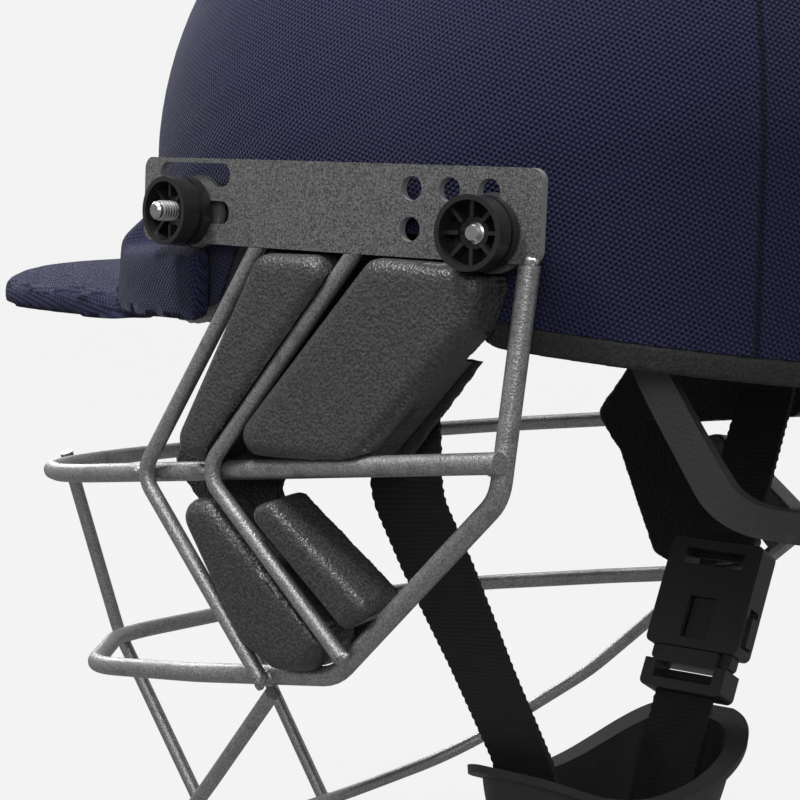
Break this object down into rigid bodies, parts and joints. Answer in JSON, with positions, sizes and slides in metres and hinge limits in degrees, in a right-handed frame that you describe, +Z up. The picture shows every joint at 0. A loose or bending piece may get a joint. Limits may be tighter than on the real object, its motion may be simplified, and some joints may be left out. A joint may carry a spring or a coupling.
{
  "type": "cricket helmet",
  "caption": "Cloth covered hard shell helmet with peak, bolted wire face guard, side padding, chin cup harness and rear cradle.",
  "frame": {"origin": "middle of the head opening at rim level, where the head's mount is", "axes": "the front faces -Y, +X is the wearer's left, +Z is up towards the crown"},
  "size_m": [0.2414, 0.295, 0.3147],
  "materials": {
    "navy_cloth": "knitted navy cloth, matt",
    "shell_plastic": "hard moulded plastic",
    "liner_foam": "closed cell foam",
    "comfort_cloth": "black brushed cloth over foam",
    "grey_felt": "grey brushed felt",
    "trim_rubber": "soft black edging",
    "plate_coat": "dark grey speckled powder coat",
    "guard_coat": "light grey powder coat, satin",
    "moulded_foam": "moulded foam with a leather grain skin",
    "backing_cloth": "black backing",
    "black_plastic": "black moulded plastic with a fine texture",
    "webbing": "black woven webbing",
    "zinc_steel": "zinc plated thread",
    "dark_washer": "dark grey washer",
    "dark_steel": "blackened rivet"
  },
  "bodies": {
    "helmet": {"brow_band": "grey_felt", "cloth_cover": "navy_cloth", "comfort_pad_crown": "comfort_cloth", "comfort_pad_front": "comfort_cloth", "comfort_pad_left": "comfort_cloth", "comfort_pad_rear": "comfort_cloth", "comfort_pad_right": "comfort_cloth", "cradle_pins": "dark_steel", "edge_trim": "trim_rubber", "foam_liner": "liner_foam", "guard_chin_bar": "guard_coat", "guard_front_strut_left": "guard_coat", "guard_front_strut_right": "guard_coat", "guard_lower_loop": "guard_coat", "guard_rear_strut_left": "guard_coat", "guard_rear_strut_right": "guard_coat", "guard_studs": "zinc_steel", "guard_upper_loop": "guard_coat", "guard_upright_left": "guard_coat", "guard_upright_right": "guard_coat", "outer_shell": "shell_plastic", "padding_backing_left": "backing_cloth", "padding_backing_right": "backing_cloth", "padding_lower_front_left": "moulded_foam", "padding_lower_front_right": "moulded_foam", "padding_lower_rear_left": "moulded_foam", "padding_lower_rear_right": "moulded_foam", "padding_upper_front_left": "moulded_foam", "padding_upper_front_right": "moulded_foam", "padding_upper_rear_left": "moulded_foam", "padding_upper_rear_right": "moulded_foam", "peak_board": "shell_plastic", "peak_cover": "navy_cloth", "peak_root_band": "navy_cloth", "side_plate_left": "plate_coat", "side_plate_right": "plate_coat", "strap_pins": "dark_steel", "stud_feet": "black_plastic", "stud_washers": "dark_washer"},
    "chin_harness": {"chin_strap_left": "webbing", "chin_strap_right": "webbing", "strap_tab_left": "black_plastic", "strap_tab_right": "black_plastic", "chin_cup": "black_plastic", "buckle_socket": "black_plastic", "buckle_tongue": "black_plastic"},
    "front_prong": {"buckle_prong_front": "black_plastic"},
    "rear_prong": {"buckle_prong_rear": "black_plastic"},
    "cradle": {"rear_cradle": "black_plastic"},
    "knob_front_left": {"knob_front_left": "black_plastic"},
    "knob_front_right": {"knob_front_right": "black_plastic"},
    "knob_rear_left": {"knob_rear_left": "black_plastic"},
    "knob_rear_right": {"knob_rear_right": "black_plastic"}
  },
  "joints": [
    {"name": "knob_front_left_turn", "type": "hinge", "parent": "helmet", "child": "knob_front_left", "pos_m": [0.10908, -0.0435, 0.0295], "axis": [0.9919, -0.1274, 0], "continuous": true},
    {"name": "knob_front_right_turn", "type": "hinge", "parent": "helmet", "child": "knob_front_right", "pos_m": [-0.10908, -0.0435, 0.0295], "axis": [-0.9919, -0.1274, 0], "continuous": true},
    {"name": "knob_rear_left_turn", "type": "hinge", "parent": "helmet", "child": "knob_rear_left", "pos_m": [0.11068, 0.04907, 0.02552], "axis": [0.9957, 0.093, 0], "continuous": true},
    {"name": "knob_rear_right_turn", "type": "hinge", "parent": "helmet", "child": "knob_rear_right", "pos_m": [-0.11068, 0.04907, 0.02552], "axis": [-0.9957, 0.093, 0], "continuous": true},
    {"name": "chin_harness_swing", "type": "hinge", "parent": "helmet", "child": "chin_harness", "pos_m": [0, 0.014, 0.03], "axis": [-1, 0, 0], "range_deg": [-15, 45]},
    {"name": "cradle_tilt", "type": "hinge", "parent": "helmet", "child": "cradle", "pos_m": [0, 0.064, 0.012], "axis": [1, 0, 0], "range_deg": [-8, 10]},
    {"name": "front_prong_press", "type": "hinge", "parent": "chin_harness", "child": "front_prong", "pos_m": [-0.04762, 0.00235, -0.10103], "axis": [0.8905, 0, 0.4549], "range_deg": [-6, 0], "stiffness_Nm_per_rad": 0.02},
    {"name": "rear_prong_press", "type": "hinge", "parent": "chin_harness", "child": "rear_prong", "pos_m": [-0.04762, 0.02565, -0.10103], "axis": [0.8905, 0, 0.4549], "range_deg": [0, 6], "stiffness_Nm_per_rad": 0.02}
  ],
  "couplings": [
    {"joint": "rear_prong_press", "follows": "front_prong_press", "ratio": -1}
  ]
}
